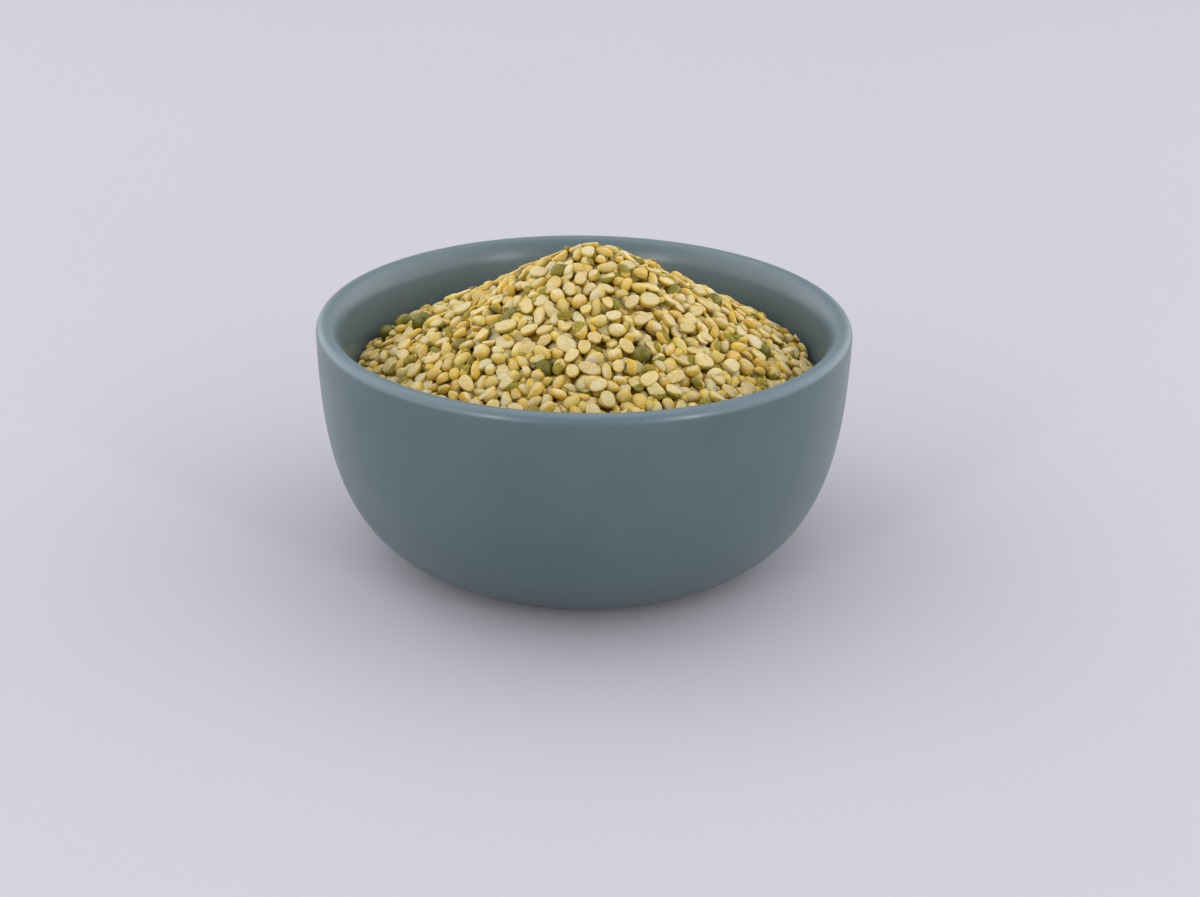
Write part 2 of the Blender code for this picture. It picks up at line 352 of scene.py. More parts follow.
def heap_normal(x, y):
    rise_x = heap_level(x + SLOPE_STEP, y) - heap_level(x - SLOPE_STEP, y)
    rise_y = heap_level(x, y + SLOPE_STEP) - heap_level(x, y - SLOPE_STEP)
    normal = np.array([-rise_x, -rise_y, 2.0 * SLOPE_STEP])
    return normal / np.linalg.norm(normal)


# Mesh helpers

def lathe_mesh(name, profile, steps):
    """A closed turned mesh from a profile that starts and ends on the axis."""
    build = bmesh.new()
    first = build.verts.new((0.0, 0.0, profile[0][1]))
    last = build.verts.new((0.0, 0.0, profile[-1][1]))
    loops = []
    for radius, level in profile[1:-1]:
        loop = []
        for step in range(steps):
            angle = math.tau * step / steps
            loop.append(build.verts.new((radius * math.cos(angle), radius * math.sin(angle), level)))
        loops.append(loop)
    for step in range(steps):
        after = (step + 1) % steps
        build.faces.new((first, loops[0][step], loops[0][after]))
        build.faces.new((last, loops[-1][after], loops[-1][step]))
        for lower, upper in zip(loops, loops[1:]):
            build.faces.new((lower[step], upper[step], upper[after], lower[after]))
    bmesh.ops.recalc_face_normals(build, faces=build.faces[:])
    for face in build.faces:
        face.smooth = True
    mesh = bpy.data.meshes.new(name)
    build.to_mesh(mesh)
    build.free()
    return mesh


def add_object(name, mesh, material, body="root"):
    item = bpy.data.objects.new(name, mesh)
    bpy.context.scene.collection.objects.link(item)
    mesh.materials.append(material)
    if body:
        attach(item, body)
    return item


# Material helpers

class Nodes:
    """Short ways to add and join shader nodes in one material."""

    def __init__(self, name):
        self.material = bpy.data.materials.new(name)
        self.material.use_nodes = True
        self.tree = self.material.node_tree
        self.shader = self.tree.nodes["Principled BSDF"]

    def add(self, kind, **settings):
        node = self.tree.nodes.new(kind)
        for key, value in settings.items():
            setattr(node, key, value)
        return node

    def plug(self, socket, value):
        if isinstance(value, bpy.types.NodeSocket):
            self.tree.links.new(value, socket)
        else:
            socket.default_value = value

    def place(self):
        return self.add("ShaderNodeTexCoord").outputs["Object"]

    def attribute(self, name, output):
        return self.add("ShaderNodeAttribute", attribute_name=name).outputs[output]

    def split(self, vector):
        node = self.add("ShaderNodeSeparateXYZ")
        self.plug(node.inputs[0], vector)
        return node.outputs

    def noise(self, vector, scale, detail=2.0, rough=0.5):
        node = self.add("ShaderNodeTexNoise")
        self.plug(node.inputs["Vector"], vector)
        node.inputs["Scale"].default_value = scale
        node.inputs["Detail"].default_value = detail
        node.inputs["Roughness"].default_value = rough
        return node.outputs["Fac"]

    def ramp(self, value, source, target=(0.0, 1.0)):
        """Smooth step of a value, from the source range to the target range."""
        node = self.add("ShaderNodeMapRange", interpolation_type="SMOOTHSTEP")
        self.plug(node.inputs["Value"], value)
        node.inputs["From Min"].default_value = source[0]
        node.inputs["From Max"].default_value = source[1]
        node.inputs["To Min"].default_value = target[0]
        node.inputs["To Max"].default_value = target[1]
        return node.outputs["Result"]

    def cells(self, vector, scale):
        node = self.add("ShaderNodeTexVoronoi", feature="F1")
        self.plug(node.inputs["Vector"], vector)
        node.inputs["Scale"].default_value = scale
        return node.outputs

    def length(self, x, y):
        squares = self.math("ADD", self.math("MULTIPLY", x, x), self.math("MULTIPLY", y, y))
        return self.math("SQRT", squares)

    def math(self, operation, first, second=0.0):
        node = self.add("ShaderNodeMath", operation=operation)
        self.plug(node.inputs[0], first)
        self.plug(node.inputs[1], second)
        return node.outputs[0]

    def mix(self, share, first, second, blend="MIX"):
        node = self.add("ShaderNodeMix", data_type="RGBA", blend_type=blend)
        self.plug(node.inputs[0], share)
        self.plug(node.inputs[6], first)
        self.plug(node.inputs[7], second)
        return node.outputs[2]

    def gray(self, value):
        node = self.add("ShaderNodeCombineColor")
        for socket in node.inputs[:3]:
            self.plug(socket, value)
        return node.outputs[0]

    def bump(self, height, strength, distance):
        node = self.add("ShaderNodeBump")
        self.plug(node.inputs["Height"], height)
        node.inputs["Strength"].default_value = strength
        node.inputs["Distance"].default_value = distance
        self.plug(self.shader.inputs["Normal"], node.outputs[0])


# Bowl

def bowl_profile():
    """Half section of the bowl, from the inside floor over the lip and down to the recess."""
    lip = RIM_THICKNESS / 2.0
    centre = RIM_RADIUS - lip
    profile = [(0.0, FLOOR_LEVEL)]
    for share in FLOOR_RINGS:
        profile.append((FLOOR_RADIUS * share, FLOOR_LEVEL))
    inside_top = BOWL_HEIGHT - LIP_INSIDE_DEPTH
    for step in range(WALL_LEVELS):
        share = (step / (WALL_LEVELS - 1)) ** 2
        level = FLOOR_LEVEL + share * (inside_top - FLOOR_LEVEL)
        profile.append((inner_radius(level), level))
    for step in range(1, LIP_STEPS + 1):
        angle = math.pi / 2.0 * step / LIP_STEPS
        level = inside_top + LIP_INSIDE_DEPTH * math.sin(angle)
        flare = (centre - inner_radius(BOWL_HEIGHT)) * (1.0 - math.cos(angle))
        profile.append((inner_radius(level) + flare, level))
    for step in range(1, LIP_STEPS + 1):
        angle = math.pi / 2.0 * step / LIP_STEPS
        radius = centre + lip * math.sin(angle)
        drop = LIP_OUTSIDE_DEPTH * (1.0 - math.cos(angle))
        profile.append((radius, BOWL_HEIGHT - drop))
    outside_top = BOWL_HEIGHT - LIP_OUTSIDE_DEPTH
    for step in range(1, WALL_LEVELS):
        share = (1.0 - step / (WALL_LEVELS - 1)) ** 2
        profile.append((outer_radius(share * outside_top), share * outside_top))
    profile.append((RECESS_RADIUS + RECESS_SLOPE + FOOT_EDGE, 0.0))
    profile.append((RECESS_RADIUS + RECESS_SLOPE, FOOT_EDGE_LIFT))
    profile.append((RECESS_RADIUS + RECESS_EDGE, RECESS_DEPTH - RECESS_EDGE_DROP))
    profile.append((RECESS_RADIUS - RECESS_EDGE, RECESS_DEPTH))
    profile.append((RECESS_RADIUS / 2.0, RECESS_DEPTH))
    profile.append((0.0, RECESS_DEPTH))
    return profile


def glaze_material():
    """Satin grey-blue glaze with sparse dark specks, a painted sheen that makes the lip paler, bare
    at the foot.
    """
    n = Nodes("satin_glaze")
    place = n.place()
    x, y, z = n.split(place)
    from_axis = n.length(x, y)

    cloud = n.ramp(n.noise(place, GLAZE_CLOUD_SCALE, 3.0), GLAZE_CLOUD_RANGE)
    base = n.mix(cloud, linear(GLAZE_COLORS[0]), linear(GLAZE_COLORS[1]))
    # Painted sheen: the glaze turns paler towards the top of the lip
    lip = n.ramp(z, LIP_SHEEN_LEVELS)
    base = n.mix(n.math("MULTIPLY", lip, LIP_SHEEN_SHARE), base, linear(LIP_SHEEN_COLOR))

    cells = n.cells(place, SPECK_SCALE)
    speck_size = n.ramp(cells["Distance"], SPECK_RANGE, (1.0, 0.0))
    speck_draw = n.math("GREATER_THAN", n.split(cells["Color"])[0], SPECK_RARITY)
    speck = n.math("MULTIPLY", speck_size, speck_draw)
    base = n.mix(n.math("MULTIPLY", speck, SPECK_TINT), base, linear(SPECK_COLOR))

    inside = n.math("LESS_THAN", from_axis, DUST_WITHIN)
    low = n.ramp(z, DUST_LEVELS, (1.0, 0.0))
    low = n.math("MULTIPLY", low, n.math("GREATER_THAN", z, DUST_FROM))
    dust_spots = n.ramp(n.noise(place, DUST_SCALE, 4.0, 0.7), DUST_RANGE)
    dust = n.math("MULTIPLY", n.math("MULTIPLY", low, inside), dust_spots)
    base = n.mix(n.math("MULTIPLY", dust, DUST_TINT), base, linear(DUST_COLOR))

    foot = n.ramp(z, BARE_LEVELS, (1.0, 0.0))
    ring = n.math("GREATER_THAN", from_axis, RECESS_RADIUS + FOOT_EDGE)
    bare = n.math("MULTIPLY", foot, ring)
    clay_noise = n.noise(place, CLAY_SCALE, 3.0)
    clay = n.mix(clay_noise, linear(CLAY_COLORS[0]), linear(CLAY_COLORS[1]))
    n.plug(n.shader.inputs["Base Color"], n.mix(bare, base, clay))

    gloss = n.ramp(n.noise(place, GLOSS_SCALE, 3.0), GLOSS_RANGE, GLAZE_ROUGHNESS)
    gloss = n.math("ADD", gloss, n.math("MULTIPLY", dust, DUST_ROUGHNESS))
    gloss = n.math("ADD", gloss, n.math("MULTIPLY", bare, BARE_ROUGHNESS))
    n.plug(n.shader.inputs["Roughness"], gloss)
    ripple = n.math("MULTIPLY", n.noise(place, RIPPLE_SCALE, 2.0), RIPPLE_RELIEF)
    pits = n.math("SUBTRACT", ripple, n.math("MULTIPLY", speck, SPECK_RELIEF))
    n.bump(pits, GLAZE_BUMP, GLAZE_BUMP_DEPTH)
    return n.material


def build_bowl():
    mesh = lathe_mesh("stoneware_bowl", bowl_profile(), BOWL_STEPS)
    bowl = add_object("stoneware_bowl", mesh, glaze_material())
    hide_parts("bowl")


# Core of the heap

def core_material():
    n = Nodes("packed_lentils")
    cells = n.cells(n.place(), CORE_CELL_SCALE)
    # Painted shade between the packed grains: each cell is darker towards its edge
    gap_shade = n.ramp(cells["Distance"], CORE_SHADE_RANGE)
    color = n.mix(gap_shade, linear(CORE_COLORS[0]), linear(CORE_COLORS[1]))
    n.plug(n.shader.inputs["Base Color"], color)
    n.shader.inputs["Roughness"].default_value = CORE_ROUGHNESS
    n.bump(n.math("SUBTRACT", 1.0, cells["Distance"]), CORE_BUMP, CORE_BUMP_DEPTH)
    return n.material


def build_core():
    """The closed body under the grains: its top is turned flat, then lowered to the heap's form."""
    wall = []
    for share in CORE_WALL_SHARES:
        level = FLOOR_LEVEL + share * (HEAP_EDGE_LEVEL - CORE_DEPTH - FLOOR_LEVEL)
        wall.append((inner_radius(level) - GAP, level + GAP))
    profile = [(0.0, FLOOR_LEVEL + GAP)] + wall
    for ring in range(1, CORE_RINGS):
        share = 1.0 - ring / CORE_RINGS
        profile.append((edge_radius() * share, HEAP_PEAK_LEVEL))
    profile.append((0.0, HEAP_PEAK_LEVEL))
    mesh = lathe_mesh("packed_core", profile, CORE_STEPS)
    for corner in mesh.vertices:
        if corner.co.z > HEAP_EDGE_LEVEL:
            corner.co.z = float(heap_level(corner.co.x, corner.co.y)) - CORE_DEPTH
    core = add_object("packed_core", mesh, core_material())
    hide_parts("lentil_heap")


# Laying the grains

def grain_turn(normal, lean, lean_to, flip, spin):
    """Rotation of a grain that lies on a slope, leans and is turned."""
    side = np.cross([0.0, 1.0, 0.0], normal)
    side /= np.linalg.norm(side)
    ahead = np.cross(normal, side)
    lay = np.stack([side, ahead, normal], axis=1)
    axis = np.array([math.cos(lean_to), math.sin(lean_to), 0.0])
    tilt = np.array(Matrix.Rotation(lean, 3, axis.tolist()))
    turned = np.array(Matrix.Rotation(spin, 3, "Z"))
    over = np.diag([1.0, -1.0, -1.0]) if flip else np.eye(3)
    return lay @ tilt @ over @ turned


def random_turn(x, y, flipped_share, draw):
    lean = abs(draw.normal(0.0, TILT_SPREAD))
    lean_to = draw.uniform(0.0, math.tau)
    flip = flipped_share > 0.0 and draw.uniform() < flipped_share
    spin = draw.uniform(0.0, math.tau)
    return grain_turn(heap_normal(x, y), lean, lean_to, flip, spin)


def column_spans(offsets_x, offsets_y, rotation, radii, halved):
    """Lowest and highest point of a grain over each grid column, as offsets from its centre."""
    inverse = rotation.T
    across = inverse[:, 0, None] * offsets_x + inverse[:, 1, None] * offsets_y
    upward = inverse[:, 2]
    scaled = across / radii[:, None]
    rise = upward / radii
    a = float(rise @ rise)
    b = rise @ scaled
    c = (scaled ** 2).sum(axis=0) - 1.0
    inside = b * b - a * c
    hit = inside > 0
    root = np.sqrt(np.where(hit, inside, 0.0))
    low = (-b - root) / a
    high = (-b + root) / a
    if halved and abs(upward[2]) > 1e-6:
        cut = -across[2] / upward[2]
        if upward[2] > 0:
            low = np.maximum(low, cut)
        else:
            high = np.minimum(high, cut)
    return low, high, hit & (high > low)


def draw_split(draw):
    """Kind and radii of one split grain."""
    kind = int(draw.choice(len(SPLIT_SHARES), p=SPLIT_SHARES))
    length = draw.uniform(*SPLIT_LENGTH)
    if draw.uniform() < SHORT_SHARE:
        length *= draw.uniform(*SHORT_FACTOR)
    width = length * draw.uniform(*SPLIT_WIDTH_SHARE)
    thickness = length * draw.uniform(*SPLIT_THICKNESS_SHARE)
    return kind, np.array([length / 2.0, width / 2.0, thickness])


class HeightGrid:
    """The heap's surface as it grows, one height for each grid column."""

    def __init__(self):
        self.half = int(math.ceil(edge_radius() / GRID_STEP)) + GRID_BORDER
        self.axis = np.arange(-self.half, self.half + 1) * GRID_STEP
        self.x, self.y = np.meshgrid(self.axis, self.axis, indexing="ij")
        self.level = heap_level(self.x, self.y)
        self.ground = self.level - CORE_DEPTH
        walled = np.hypot(self.x, self.y) > edge_radius() + GAP - WALL_MARGIN
        self.ground[walled] = WALLED
        self.window = int(math.ceil(BEAN_LENGTH[1] / 2.0 / GRID_STEP)) + 1

    def fit(self, x, y, rotation, radii, halved):
        """The columns under a grain at x, y, and its lowest and highest face in each."""
        column = int(round(x / GRID_STEP)) + self.half
        row = int(round(y / GRID_STEP)) + self.half
        columns = slice(max(column - self.window, 0), column + self.window + 1)
        rows = slice(max(row - self.window, 0), row + self.window + 1)
        patch_x = (self.x[columns, rows] - x).ravel()
        patch_y = (self.y[columns, rows] - y).ravel()
        low, high, hit = column_spans(patch_x, patch_y, rotation, radii, halved)
        return (columns, rows), low, high, hit

    def rest(self, cells, low, hit):
        """Height of a grain's centre when it just touches what lies under it."""
        return float((self.ground[cells].ravel()[hit] - low[hit]).max())

    def over(self, cells, centre, high, hit):
        """How far a grain stands out of the heap's outline."""
        return float((centre + high[hit] - self.level[cells].ravel()[hit]).max())

    def cover(self, cells, centre, high, hit):
        patch = self.ground[cells]
        raised = patch.ravel().copy()
        raised[hit] = np.maximum(raised[hit], centre + high[hit])
        self.ground[cells] = raised.reshape(patch.shape)


def lay_beans(grid, draw):
    """Whole beans first, a few on top at the left end and the rest far apart and let in."""
    places = [np.array(place) for place in EDGE_BEANS]
    while len(places) < BEAN_COUNT:
        tries = draw.uniform(-1.0, 1.0, (BEAN_TRIES, 2)) * edge_radius()
        tries = tries[np.hypot(tries[:, 0], tries[:, 1]) < edge_radius() - BEAN_LENGTH[1] / 2.0]
        if len(tries) == 0:
            continue
        apart = [min([math.dist(point, other) for other in places], default=0.0) for point in tries]
        places.append(tries[int(np.argmax(apart))])
    laid = []
    for index, (x, y) in enumerate(places):
        length = draw.uniform(*BEAN_LENGTH)
        width = length * draw.uniform(*BEAN_WIDTH_SHARE)
        thickness = length * draw.uniform(*BEAN_THICKNESS_SHARE)
        radii = np.array([length, width, thickness]) / 2.0
        rotation = random_turn(x, y, 0.0, draw)
        cells, low, high, hit = grid.fit(x, y, rotation, radii, False)
        proud = EDGE_BEAN_PROUD if index < len(EDGE_BEANS) else draw.uniform(*BEAN_PROUD)
        centre = proud - grid.over(cells, 0.0, high, hit)
        grid.cover(cells, centre, high, hit)
        laid.append((KINDS.index("bean"), radii, rotation, np.array([x, y, centre])))
    return laid


def best_drop(grid, cell, radii, proud, settle, draw):
    """The lowest of a few ways in which a split grain can lie near a grid cell."""
    best = None
    for _ in range(DROP_CHOICES):
        x = grid.axis[cell[0]] + draw.uniform(-DROP_SHIFT, DROP_SHIFT)
        y = grid.axis[cell[1]] + draw.uniform(-DROP_SHIFT, DROP_SHIFT)
        if math.hypot(x, y) > edge_radius() - WALL_CLEARANCE:
            continue
        rotation = random_turn(x, y, FLIPPED_SHARE, draw)
        cells, low, high, hit = grid.fit(x, y, rotation, radii, True)
        if not hit.any():
            continue
        centre = grid.rest(cells, low, hit) - settle
        if grid.over(cells, centre, high, hit) > proud:
            continue
        nestled = centre + float(low[hit].min()) / 2.0
        score = nestled - float(heap_level(x, y)) + draw.uniform(0.0, LAY_LOOSENESS)
        if best is None or score < best[0]:
            best = (score, x, y, centre, rotation, cells, high, hit)
    return best


def box_mean(values, reach):
    """Mean of each cell's square neighbourhood."""
    size = 2 * reach + 1
    padded = np.pad(values, ((reach + 1, reach), (reach + 1, reach)))
    total = np.cumsum(np.cumsum(padded, axis=0), axis=1)
    inner = total[size:, size:] - total[:-size, size:] - total[size:, :-size] + total[:-size, :-size]
    return inner / size ** 2


def fill_pits(grid, draw):
    """Small sunk grains wherever the core would still show between the grains."""
    filled = []
    for _ in range(PIT_TRIES):
        open_cells = np.argwhere(grid.level - grid.ground > PIT_DEPTH)
        if len(open_cells) == 0:
            break
        cell = open_cells[draw.integers(len(open_cells))]
        x = grid.axis[cell[0]]
        y = grid.axis[cell[1]]
        kind, radii = draw_split(draw)
        radii = radii * PIT_SIZE
        rotation = random_turn(x, y, FLIPPED_SHARE, draw)
        cells, low, high, hit = grid.fit(x, y, rotation, radii, True)
        if grid.ground[cells].ravel()[hit].max(initial=0.0) >= WALLED:
            continue
        centre = float(heap_level(x, y)) - draw.uniform(*PIT_CENTRE)
        grid.cover(cells, centre, high, hit)
        filled.append((kind, radii, rotation, np.array([x, y, centre])))
    return filled


def lay_grains():
    """Drops grains one by one, layer by layer, and then fills the pits that are left."""
    draw = np.random.default_rng(HEAP_SEED)
    grid = HeightGrid()
    laid = lay_beans(grid, draw)
    for open_depth, proud, settle, tries in LAYERS:
        tired = np.zeros_like(grid.ground)
        for attempt in range(tries):
            if attempt % REFRESH_EVERY == 0:
                depth = np.clip(grid.level - grid.ground, 0.0, None)
                room = box_mean(depth, ROOM_REACH) - tired
                open_cells = np.argwhere(depth > open_depth)
                if len(open_cells) == 0:
                    break
            picks = open_cells[draw.integers(len(open_cells), size=ROOM_CHOICES)]
            cell = picks[int(np.argmax(room[picks[:, 0], picks[:, 1]]))]
            kind, radii = draw_split(draw)
            best = best_drop(grid, cell, radii, draw.uniform(*proud), settle, draw)
            if best is None:
                columns = slice(cell[0] - TIRED_REACH, cell[0] + TIRED_REACH + 1)
                rows = slice(cell[1] - TIRED_REACH, cell[1] + TIRED_REACH + 1)
                tired[columns, rows] += TIRED_COST
                continue
            _, x, y, centre, rotation, cells, high, hit = best
            grid.cover(cells, centre, high, hit)
            laid.append((kind, radii, rotation, np.array([x, y, centre])))
    return laid + fill_pits(grid, draw)


# Grain meshes

def ring_template(rings):
    """Points and faces of a round body one unit in radius, from its lowest point up."""
    points = [(0.0, 0.0, rings[0][1] * BASE_SHARE)]
    for radius, level in rings:
        for step in range(GRAIN_SEGMENTS):
            angle = math.tau * step / GRAIN_SEGMENTS
            points.append((radius * math.cos(angle), radius * math.sin(angle), level))
    points.append((0.0, 0.0, 1.0))
    top = len(points) - 1
    faces = []
    for step in range(GRAIN_SEGMENTS):
        after = (step + 1) % GRAIN_SEGMENTS
        faces.append((0, 1 + after, 1 + step))
        for ring in range(len(rings) - 1):
            low = 1 + ring * GRAIN_SEGMENTS
            high = low + GRAIN_SEGMENTS
            faces.append((low + step, low + after, high + after, high + step))
        last = 1 + (len(rings) - 1) * GRAIN_SEGMENTS
        faces.append((last + step, last + after, top))
    return np.array(points), faces


def shaped_split(points, draw):
    """One uneven split grain: a wavy, notched or broken outline, a lopsided dome, a twisted flat."""
    shaped = points.copy()
    x = points[:, 0]
    y = points[:, 1]
    z = points[:, 2]
    around = np.arctan2(y, x)
    outline = np.ones(len(points))
    for waves, depth in OUTLINE_WAVES:
        outline += draw.uniform(-depth, depth) * np.cos(waves * around + draw.uniform(0.0, math.tau))
    dent = np.exp(-(x / NOTCH_WIDTH) ** 2) * np.clip(y, 0.0, 1.0)
    notch = draw.uniform(0.0, NOTCH_DEPTH) * dent
    shaped[:, 0] = x * outline
    shaped[:, 1] = y * outline - notch
    shaped[:, 1] += draw.uniform(-BEND, BEND) * (x * x - BEND_MIDDLE)
    if draw.uniform() < BROKEN_SHARE:
        over = np.clip(shaped[:, 0] - draw.uniform(*BROKEN_AT), 0.0, None)
        shaped[:, 0] -= over * BROKEN_CUT
    lean_x = draw.uniform(-DOME_LEAN_X, DOME_LEAN_X)
    lean_y = draw.uniform(-DOME_LEAN_Y, DOME_LEAN_Y)
    shaped[:, 2] = z * (1.0 + lean_x * x + lean_y * y)
    shaped[:, 2] += draw.uniform(0.0, FLAT_TWIST) * (x * x - y * y) * (1.0 - z)
    return shaped


def shaped_bean(points, draw):
    """One whole bean, rounded below as above and a little thicker at one end."""
    shaped = points.copy()
    shaped[:, 2] = points[:, 2] * 2.0 - 1.0
    shaped[:, 1] *= 1.0 + draw.uniform(-BEAN_TAPER, BEAN_TAPER) * points[:, 0]
    return shaped


def grain_mesh(name, grains, rings, shape, draw):
    """All grains of one kind as one mesh, with their own places and draws as attributes."""
    points, faces = ring_template(rings)
    face_sizes = np.array([len(face) for face in faces])
    face_corners = np.concatenate([np.array(face) for face in faces])
    count = len(grains)
    size = len(points)
    world = np.empty((count, size, 3))
    local = np.empty((count, size, 3))
    tints = np.empty((count, size, 4))
    for index, (_, radii, rotation, centre) in enumerate(grains):
        shaped = shape(points, draw)
        world[index] = (shaped * radii) @ rotation.T + centre
        local[index] = shaped
        tints[index] = draw.uniform(0.0, 1.0, 4)
    corners = (face_corners[None] + (np.arange(count) * size)[:, None]).ravel()
    sizes = np.tile(face_sizes, count)
    starts = np.concatenate([[0], np.cumsum(sizes)[:-1]])
    mesh = bpy.data.meshes.new(name)
    mesh.vertices.add(count * size)
    mesh.vertices.foreach_set("co", world.ravel())
    mesh.loops.add(len(corners))
    mesh.loops.foreach_set("vertex_index", corners)
    mesh.polygons.add(len(sizes))
    mesh.polygons.foreach_set("loop_start", starts)
    mesh.update(calc_edges=True)
    mesh.validate()
    mesh.shade_smooth()
    place = mesh.attributes.new("grain_place", "FLOAT_VECTOR", "POINT")
    place.data.foreach_set("vector", local.ravel())
    tint = mesh.attributes.new("grain_tint", "FLOAT_COLOR", "POINT")
    tint.data.foreach_set("color", tints.ravel())
    return mesh


# Grain materials

def husk_cover(n, local, draws, z, mottle):
    """Share of husk left on, in one ragged patch that faces a different way on each grain."""
    toward = n.add("ShaderNodeVectorMath", operation="SUBTRACT")
    n.plug(toward.inputs[0], draws)
    toward.inputs[1].default_value = (0.5, 0.5, 0.5)
    onto = n.add("ShaderNodeVectorMath", operation="DOT_PRODUCT")
    n.plug(onto.inputs[0], toward.outputs[0])
    n.plug(onto.inputs[1], local)
    aimed = n.math("MULTIPLY", onto.outputs["Value"], HUSK_AIM)
    field = n.math("ADD", aimed, n.math("MULTIPLY", z, HUSK_CROWN))
    field = n.math("ADD", field, n.math("MULTIPLY", mottle, HUSK_RAGGED))
    return n.ramp(field, HUSK_RANGE)


def split_material(name, colors, has_husk):
    """Dry split grain: yellow at its rim and pale in the middle of each face, partly flour where it
    rubs and partly a painted highlight; some with husk left on.
    """
    pale, own, deep = (linear(color) for color in colors)
    n = Nodes(name)
    place = n.place()
    local = n.attribute("grain_place", "Vector")
    draws = n.attribute("grain_tint", "Vector")
    x, y, z = n.split(local)
    deep_draw, flour_draw, bright_draw = n.split(draws)
    mottle = n.noise(place, MOTTLE_SCALE, 3.0, 0.6)
    fine = n.noise(place, FINE_SCALE, 3.0, 0.65)

    # Painted highlight, partly flour where the grain rubs: each face is pale in its middle and keeps
    # the grain's yellow towards its rim
    uneven = n.math("MULTIPLY", n.math("SUBTRACT", mottle, 0.5), RUB_AND_LIGHT_RAGGED)
    rubbed_and_lit = n.ramp(n.math("ADD", n.length(x, y), uneven), RUB_AND_LIGHT_RANGE, (1.0, 0.0))
    flour_and_highlight = n.math("MULTIPLY", rubbed_and_lit, n.ramp(flour_draw, (0.0, 1.0), FLOUR_AND_HIGHLIGHT_DRAW))
    flat = n.ramp(z, FLAT_RANGE, (1.0, 0.0))
    flat_flour_and_highlight = n.math("MULTIPLY", flat, n.ramp(mottle, FLAT_FLOUR_AND_HIGHLIGHT_RANGE, FLAT_FLOUR_AND_HIGHLIGHT))
    flour_and_highlight = n.math("MAXIMUM", flour_and_highlight, flat_flour_and_highlight)

    color = n.mix(n.ramp(deep_draw, DEEP_DRAW_RANGE), own, deep)
    color = n.mix(flour_and_highlight, color, pale)
    color = n.mix(n.ramp(fine, FINE_DARK_RANGE, (0.0, FINE_DARK)), color, linear(MOTTLE_DARK))
    color = n.mix(n.ramp(fine, FINE_PALE_RANGE, (FINE_PALE, 0.0)), color, linear(MOTTLE_PALE))
    bright = n.ramp(bright_draw, (0.0, 1.0), BRIGHTNESS)
    color = n.mix(1.0, color, n.gray(bright), "MULTIPLY")

    rough = GRAIN_ROUGHNESS
    if has_husk:
        husk = husk_cover(n, local, draws, z, mottle)
        green = n.ramp(deep_draw, HUSK_DRAW_RANGE)
        green = n.mix(green, linear(HUSK_COLORS[0]), linear(HUSK_COLORS[1]))
        green = n.mix(n.ramp(fine, HUSK_FINE_RANGE), green, linear(HUSK_SHADE))
        color = n.mix(husk, color, green)
        rough = n.math("SUBTRACT", GRAIN_ROUGHNESS, n.math("MULTIPLY", husk, HUSK_SMOOTHING))
    n.plug(n.shader.inputs["Base Color"], color)
    n.plug(n.shader.inputs["Roughness"], rough)
    n.shader.inputs["Specular IOR Level"].default_value = GRAIN_SPECULAR
    n.shader.inputs["Subsurface Weight"].default_value = GRAIN_GLOW
    n.shader.inputs["Subsurface Radius"].default_value = GLOW_SPREAD
    n.shader.inputs["Subsurface Scale"].default_value = GLOW_DEPTH
    relief = n.math("ADD", n.math("MULTIPLY", fine, FINE_RELIEF), mottle)
    n.bump(relief, GRAIN_BUMP, GRAIN_BUMP_DEPTH)
    return n.material


def bean_material():
    """Whole bean in its green coat, with a white scar line in a dark purple patch."""
    n = Nodes("whole_bean_coat")
    place = n.place()
    x, y, z = n.split(n.attribute("grain_place", "Vector"))
    coat_draw, patch_draw, _ = n.split(n.attribute("grain_tint", "Vector"))
    cloud = n.noise(place, COAT_CLOUD_SCALE, 3.0, 0.6)
    coat = n.ramp(coat_draw, COAT_DRAW_RANGE)
    coat = n.mix(coat, linear(COAT_COLORS[0]), linear(COAT_COLORS[1]))
    coat = n.mix(n.ramp(cloud, COAT_CLOUD_RANGE), coat, linear(COAT_SHADE))

    along = n.math("ABSOLUTE", x)
    off_line = n.math("ABSOLUTE", z)
    side = n.math("GREATER_THAN", y, SCAR_SIDE)
    far = n.math("ADD", n.math("MULTIPLY", along, SCAR_PATCH_LENGTHWISE), off_line)
    patch = n.math("MULTIPLY", n.ramp(far, SCAR_PATCH_RANGE, (1.0, 0.0)), side)
    patch = n.math("MULTIPLY", patch, n.ramp(patch_draw, SCAR_PATCH_DRAW))
    coat = n.mix(patch, coat, linear(SCAR_PATCH_COLOR))
    scar_width = n.ramp(off_line, SCAR_WIDTH_RANGE, (1.0, 0.0))
    scar_length = n.ramp(along, SCAR_LENGTH_RANGE, (1.0, 0.0))
    scar = n.math("MULTIPLY", n.math("MULTIPLY", scar_width, scar_length), side)
    coat = n.mix(scar, coat, linear(SCAR_COLOR))

    n.plug(n.shader.inputs["Base Color"], coat)
    n.shader.inputs["Roughness"].default_value = COAT_ROUGHNESS
    n.shader.inputs["Specular IOR Level"].default_value = COAT_SPECULAR
    n.bump(cloud, COAT_BUMP, COAT_BUMP_DEPTH)
    return n.material


